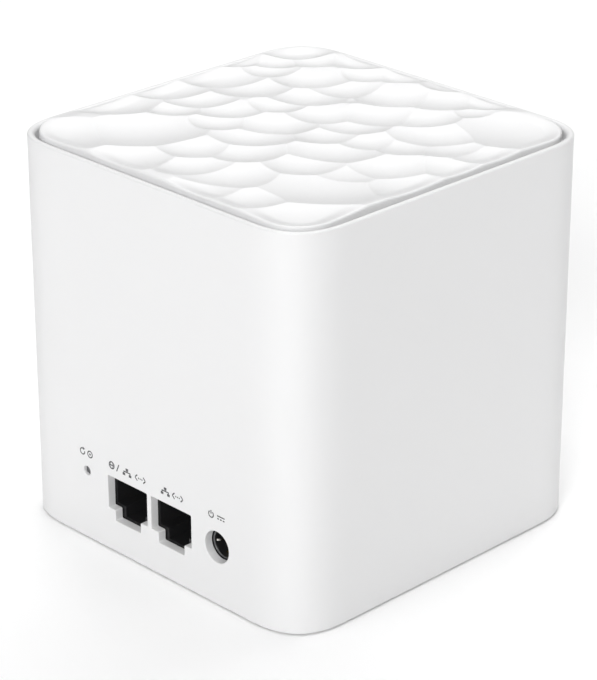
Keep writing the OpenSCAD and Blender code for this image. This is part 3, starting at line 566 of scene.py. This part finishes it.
def build_sleeve():
    """The square tube with its rim, ledge, posts and openings, and the marks printed on the port face."""
    bm = bmesh.new()
    section = sleeve_section()
    count = len(section)
    steps = 48
    corner = corner_curve(steps)
    flat = corner[0][0]
    outer = next(i for i in range(count) if section[i][0] < 1e-6 and section[(i + 1) % count][0] < 1e-6
                 and section[(i + 1) % count][1] - section[i][1] > 10)
    inner = count - 1
    cuts = [(lambda g, x=x: rounded_loop(port_outline(x), 0.3, g)) for x in PORT_X]
    cuts += [(lambda g, c=c: circle_loop(c[0], c[1], c[2] + g, n)) for c, n in ((INLET, 72), (RESET, 40))]
    window = [lambda g: circle_loop(PIPE[0], PIPE[1], PIPE[2] + g, 40)]
    for side in range(4):
        turn = Matrix.Rotation(math.radians(90 * side), 3, "Z")

        def at(x, z, depth):
            return turn @ Vector((x, -(HALF - depth), z)) * MM

        add_post(bm, turn)
        openings = cuts if side == 0 else window if side == 2 else []
        for i in range(count):
            (o0, z0), (o1, z1) = section[i], section[(i + 1) % count]
            if i in (outer, inner) and openings:
                lo, hi = min(z0, z1), max(z0, z1)
                border = [(-flat, lo), (flat, lo), (flat, hi), (-flat, hi)]
                grow = CUT_EDGE if i == outer else 0.0
                holes = [c(grow) for c in openings]
                if i == inner and side == 0:
                    holes[-1] = circle_loop(RESET[0], RESET[1], RESET_BORE_R, 40)
                fill_face(bm, lambda x, z, d=o0: at(x, z, d), border, holes,
                          (port_marks() if i == outer and side == 0 else []))
            else:
                bm.faces.new([bm.verts.new(at(x, z, o)) for x, z, o in
                              ((-flat, z0, o0), (flat, z0, o0), (flat, z1, o1), (-flat, z1, o1))])
            for k in range(steps):
                quad = []
                for step, o, z in ((k, o0, z0), (k + 1, o0, z0), (k + 1, o1, z1), (k, o1, z1)):
                    x, y, a = corner[step]
                    p = Vector((x - o * math.cos(a), y - o * math.sin(a), z))
                    quad.append(bm.verts.new(turn @ p * MM))
                bm.faces.new(quad)
        for cut in openings:
            rings = [(CUT_EDGE * (1 - math.sin(t)), CUT_EDGE * (1 - math.cos(t))) for t in
                     (math.radians(d) for d in (0, 22.5, 45, 67.5, 90))]
            if cut is cuts[-1]:
                wider = RESET_BORE_R - RESET[2]
                rings += [(0.0, RESET_SKIN), (wider, RESET_SKIN), (wider, WALL)]
            else:
                rings.append((0.0, WALL))
            for (g0, d0), (g1, d1) in zip(rings, rings[1:]):
                bridge(bm, cut(g0), cut(g1), lambda x, z, d=d0: at(x, z, d), lambda x, z, d=d1: at(x, z, d))
    obj = mesh_object("sleeve", bm, [MATS["shell_white"], INK], weighted=True)
    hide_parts("housing_sleeve")
    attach(obj, "case")


build_sleeve()


# ---------- power inlet ----------

def build_inlet_lip():
    """The rounded bead round the mouth of the power inlet's barrel. Its grey, lighter than the barrel's
    black, is a painted highlight added to its real gloss.
    """
    bm = bmesh.new()
    radius, bead, around, steps = 3.22, 0.14, 96, 12
    y = INLET_FACE
    rows = []
    for i in range(around):
        a = 2 * math.pi * i / around
        rows.append([bm.verts.new(Vector((
            INLET[0] + (radius + bead * math.cos(b)) * math.cos(a), y + bead * math.sin(b),
            INLET[1] + (radius + bead * math.cos(b)) * math.sin(a))) * MM)
            for b in (2 * math.pi * k / steps for k in range(steps))])
    for i in range(around):
        for k in range(steps):
            a, b = rows[i], rows[(i + 1) % around]
            bm.faces.new((a[k], a[(k + 1) % steps], b[(k + 1) % steps], b[k]))
    obj = mesh_object("inlet_lip", bm, [MATS["inlet_gloss"]])
    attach(obj, "case")


def build_side_contact():
    """A bowed contact spring on the left of the barrel, seen through the inlet."""
    bm = bmesh.new()
    half_h, thick, middle = 0.28, 0.15, -0.45
    section = ((0, -half_h), (thick, -half_h * 0.8), (thick, half_h * 0.8), (0, half_h))
    # distance from the inlet's axis, and depth behind the mouth
    path = [(3.12, 0.5), (2.98, 0.62), (2.62, 1.1), (2.5, 1.5), (2.62, 1.9), (3.0, 2.6), (3.12, 3.2)]
    rows = []
    for off, deep in path:
        x, y = INLET[0] - off, INLET_FACE + deep
        rows.append([bm.verts.new(Vector((x + dx, y, INLET[1] + middle + dz)) * MM) for dx, dz in section])
    for a, b in zip(rows, rows[1:]):
        for i in range(4):
            bm.faces.new((a[i], a[(i + 1) % 4], b[(i + 1) % 4], b[i]))
    bm.faces.new(rows[0])
    bm.faces.new(rows[-1][::-1])
    obj = mesh_object("inlet_side_contact", bm, [MATS["pin_nickel"]])
    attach(obj, "case")


build_inlet_lip()
build_side_contact()


# ---------- cap ----------

def cap_height(x, y):
    """Height of the carved surface: soft ridges between the bowls, and shallower carving beside the edge."""
    best = CAP_TOP
    for gx, gy, depth, r in GOUGES:
        away = (BOWL_LONG * (x - gx + y - gy) ** 2 + BOWL_ACROSS * (x - gx - y + gy) ** 2) / 2
        if away > BOWL_FAR * BOWL_FAR or away >= r * r:
            continue
        z = CAP_TOP - depth + r - math.sqrt(r * r - away)
        if z > best + RIDGE_SOFT:
            continue
        blend = max(RIDGE_SOFT - abs(z - best), 0) / RIDGE_SOFT
        best = min(z, best) - blend * blend * RIDGE_SOFT / 4
    core = CAP_HALF - CAP_R
    over = math.hypot(max(abs(x) - core, 0), max(abs(y) - core, 0))
    inset = CAP_R - over if abs(x) > core and abs(y) > core else CAP_HALF - max(abs(x), abs(y))
    t = min(max(inset / LIP_BAND, 0), 1)
    keep = LIP_KEEP + (1 - LIP_KEEP) * t * t * (3 - 2 * t)
    return LIP_LEVEL + (best - LIP_LEVEL) * keep * RELIEF


def square_loop(half, r, n_corner, n_side):
    """Rounded square, anticlockwise, with evenly spread points."""
    pts = []
    flat = half - r
    for side in range(4):
        c, s = math.cos(math.radians(90 * side)), math.sin(math.radians(90 * side))
        part = [(-flat + 2 * flat * i / n_side, -half) for i in range(n_side)]
        part += [(flat + r * math.cos(a), -flat + r * math.sin(a)) for a in
                 (math.radians(-90 + 90 * i / n_corner) for i in range(n_corner))]
        pts += [(x * c - y * s, x * s + y * c) for x, y in part]
    return pts


def add_hooks(bm):
    """Two snap hooks on each side, which grip under the sleeve's ledge."""
    for side in range(4):
        turn = Matrix.Rotation(math.radians(90 * side), 3, "Z")
        for middle in (-HOOK_Y, HOOK_Y):
            ends = [[bm.verts.new(turn @ Vector((x, middle + w, z)) * MM) for x, z in HOOK_SIDE]
                    for w in (-HOOK_HALF_W, HOOK_HALF_W)]
            bm.faces.new(ends[0])
            bm.faces.new(ends[1][::-1])
            for i in range(len(HOOK_SIDE)):
                j = (i + 1) % len(HOOK_SIDE)
                bm.faces.new((ends[0][i], ends[0][j], ends[1][j], ends[1][i]))


def build_cap():
    """The carved cover: a fine grid over the bowls, a rounded edge, side walls and snap hooks."""
    bm = bmesh.new()
    add_hooks(bm)
    step = 0.26
    n_corner, n_side = ((52, 240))
    loops = []
    for angle in (0, 18, 36, 54, 72, 90):
        inset, drop = (CAP_EDGE * (1 - way(math.radians(angle))) for way in (math.cos, math.sin))
        loop = square_loop(CAP_HALF - inset, CAP_R - inset, n_corner, n_side)
        loops.append([Vector((x, y, cap_height(x, y) - drop)) * MM for x, y in loop])
    foot = [Vector((p.x, p.y, LEDGE_TOP * MM)) for p in loops[0]]
    rows = [[bm.verts.new(p) for p in loop] for loop in [foot] + loops]
    for a, b in zip(rows, rows[1:]):
        for i in range(len(a)):
            j = (i + 1) % len(a)
            bm.faces.new((a[i], a[j], b[j], b[i]))
    bm.faces.new([bm.verts.new(p) for p in reversed(foot)])
    reach = CAP_HALF - CAP_EDGE
    rim = square_loop(reach, CAP_R - CAP_EDGE, n_corner, n_side)
    points = [Vector(p) for p in rim]
    count = int(2 * reach / step)
    inner_half, inner_r = reach - step * 0.7, CAP_R - CAP_EDGE - step * 0.7
    for iy in range(count + 1):
        y = -reach + 2 * reach * iy / count
        for ix in range(count + 1):
            x = -reach + 2 * reach * (ix + 0.5 * (iy % 2)) / count
            qx, qy = max(abs(x) - (inner_half - inner_r), 0), max(abs(y) - (inner_half - inner_r), 0)
            if math.hypot(qx, qy) <= inner_r:
                points.append(Vector((x, y)))
    edges = [(i, (i + 1) % len(rim)) for i in range(len(rim))]
    coords, _, tris, *_ = delaunay_2d_cdt(points, edges, [], 1, 1e-6, False)
    verts = [bm.verts.new(Vector((p.x, p.y, cap_height(p.x, p.y))) * MM) for p in coords]
    for tri in tris:
        bm.faces.new([verts[i] for i in tri])
    obj = mesh_object("cap", bm, [MATS["cap_white"]], sharp_deg=50)
    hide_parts("top_cap")
    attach(obj, "case")


build_cap()


# ---------- stage ----------

FLOOR_REACH = 6.0
LIGHT_DISTANCE = 4.0
LIGHT_SIZE = (2.2, 1.6)
LIGHT_WATTS = 7.25             # watts per unit of power in the table below
LIGHTS = (                     # azimuth, elevation, power
    (45, 88, 7.5), (32, 25, 15.2), (225, 50, 5.2), (180, 50, 3.4), (0, 68, 3.3), (180, 68, 1.1),
    (0, 6, 0.8), (240, 28, 1.2), (210, 28, 1.3), (150, 6, 4.3),
)
AIM = Vector((0, 0, 0.045))    # the point that the lights look at
LENS = 143.8
CAMERA_AT = (0.38983, -0.38375, 0.28737)
CAMERA_AIM = Vector((0, 0, 0.0453))
CAMERA_SHIFT = (-0.00287, -0.026)


def build_floor():
    bm = bmesh.new()
    bm.faces.new([bm.verts.new((x, y, 0)) for x, y in circle_loop(0, 0, FLOOR_REACH, 96)])
    n = Nodes("studio_floor")
    tone = n.noise(300, 2)
    n.set(color=n.mix(tone, (0.965, 0.965, 0.965), (0.975, 0.975, 0.975)), rough=0.9, spec=0.1)
    mesh = bpy.data.meshes.new("floor")
    bm.to_mesh(mesh)
    bm.free()
    mesh.materials.append(n.mat)
    obj = bpy.data.objects.new("floor", mesh)
    bpy.context.scene.collection.objects.link(obj)


def area_light(name, azimuth, elevation, power):
    """A soft light aimed at the object. Azimuth 0 is in front of the port face, and 90 is the +X side."""
    data = bpy.data.lights.new(name, "AREA")
    data.shape = "RECTANGLE"
    data.size, data.size_y = LIGHT_SIZE
    data.energy = power * LIGHT_WATTS
    obj = bpy.data.objects.new(name, data)
    a, e = math.radians(azimuth), math.radians(elevation)
    away = Vector((math.sin(a) * math.cos(e), -math.cos(a) * math.cos(e), math.sin(e)))
    obj.location = AIM + away * LIGHT_DISTANCE
    obj.rotation_mode = "QUATERNION"
    obj.rotation_quaternion = (-away).to_track_quat("-Z", "Y")
    obj.visible_camera = False
    bpy.context.scene.collection.objects.link(obj)


def build_world():
    """A world that gives no light of its own: all of it comes from the area lights."""
    world = bpy.data.worlds.new("studio")
    world.use_nodes = True
    world.node_tree.nodes["Background"].inputs["Strength"].default_value = 0.0
    bpy.context.scene.world = world


def build_camera():
    data = bpy.data.cameras.new("camera")
    data.lens = LENS
    data.sensor_width = 36
    data.sensor_fit = "AUTO"
    data.shift_x, data.shift_y = CAMERA_SHIFT
    data.clip_start, data.clip_end = 0.05, 50
    obj = bpy.data.objects.new("camera", data)
    obj.location = CAMERA_AT
    look = CAMERA_AIM - obj.location
    obj.rotation_mode = "QUATERNION"
    obj.rotation_quaternion = look.to_track_quat("-Z", "Y")
    bpy.context.scene.collection.objects.link(obj)
    bpy.context.scene.camera = obj


build_floor()
build_world()
for i, row in enumerate(LIGHTS):
    area_light(f"softbox_{i}", *row)
build_camera()
bpy.context.scene.view_settings.view_transform = "Standard"
